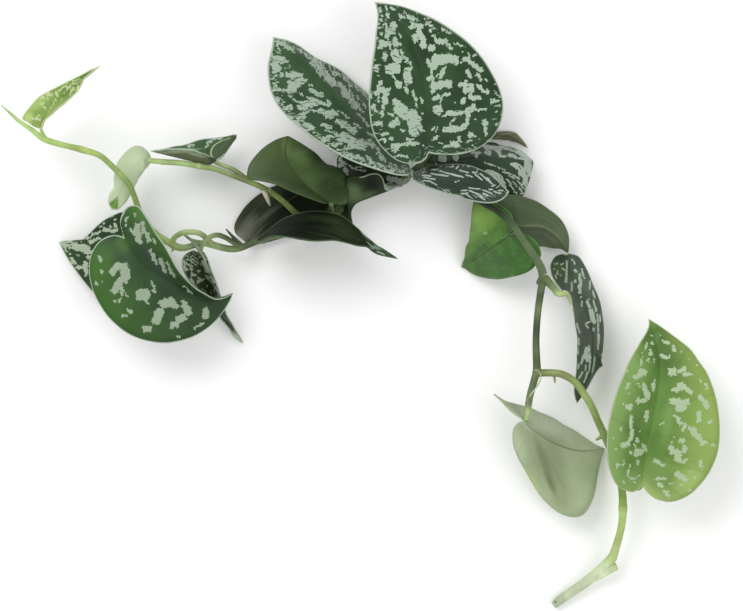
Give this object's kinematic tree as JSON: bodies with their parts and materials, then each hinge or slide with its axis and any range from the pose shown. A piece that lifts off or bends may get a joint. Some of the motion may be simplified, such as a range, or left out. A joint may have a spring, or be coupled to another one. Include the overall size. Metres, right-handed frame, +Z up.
{
  "type": "satin pothos",
  "caption": "Cut, branched run of a trailing houseplant lying on a surface: satiny heart-shaped leaves with silver splashes on slim jointed green stems.",
  "frame": {"origin": "on the surface the plant lies on, under the middle of the plant's box", "axes": "+X along the spread of the vines, from the growing tip to the crown and beyond; +Y from the cut end of the stem towards the crown; +Z up, away from the surface"},
  "size_m": [0.3908, 0.3312, 0.073],
  "materials": {
    "leaf_silver_green": "satin",
    "leaf_underside_olive": "satin",
    "leaf_underside_dark": "satin",
    "leaf_young_pale": "satin",
    "leaf_underside_pale": "satin",
    "leaf_light_green": "satin",
    "leaf_underside_lit": "satin",
    "stem": "satin"
  },
  "bodies": {
    "root": {"leaf_crown_front": "leaf_silver_green", "leaf_crown_left": "leaf_silver_green", "leaf_crown_right": "leaf_silver_green", "leaf_crown_low": "leaf_silver_green", "leaf_crown_back": "leaf_underside_olive", "leaf_crown_hidden": "leaf_young_pale", "leaf_crown_under": "leaf_silver_green", "leaf_left_inner": "leaf_underside_olive", "leaf_left_back": "leaf_underside_dark", "leaf_left_front": "leaf_underside_dark", "leaf_fold": "leaf_underside_olive", "leaf_left_young": "leaf_young_pale", "leaf_tip_left": "leaf_light_green", "leaf_low_left": "leaf_silver_green", "leaf_low_left_back": "leaf_silver_green", "leaf_low_small": "leaf_silver_green", "leaf_right_lit": "leaf_underside_lit", "leaf_right_olive": "leaf_underside_olive", "leaf_right_hanging": "leaf_silver_green", "leaf_right_pale": "leaf_underside_pale", "leaf_end": "leaf_light_green", "stem_crown": "stem", "stem_upper_left": "stem", "stem_lower_left": "stem", "stem_right": "stem"}
  },
  "joints": []
}
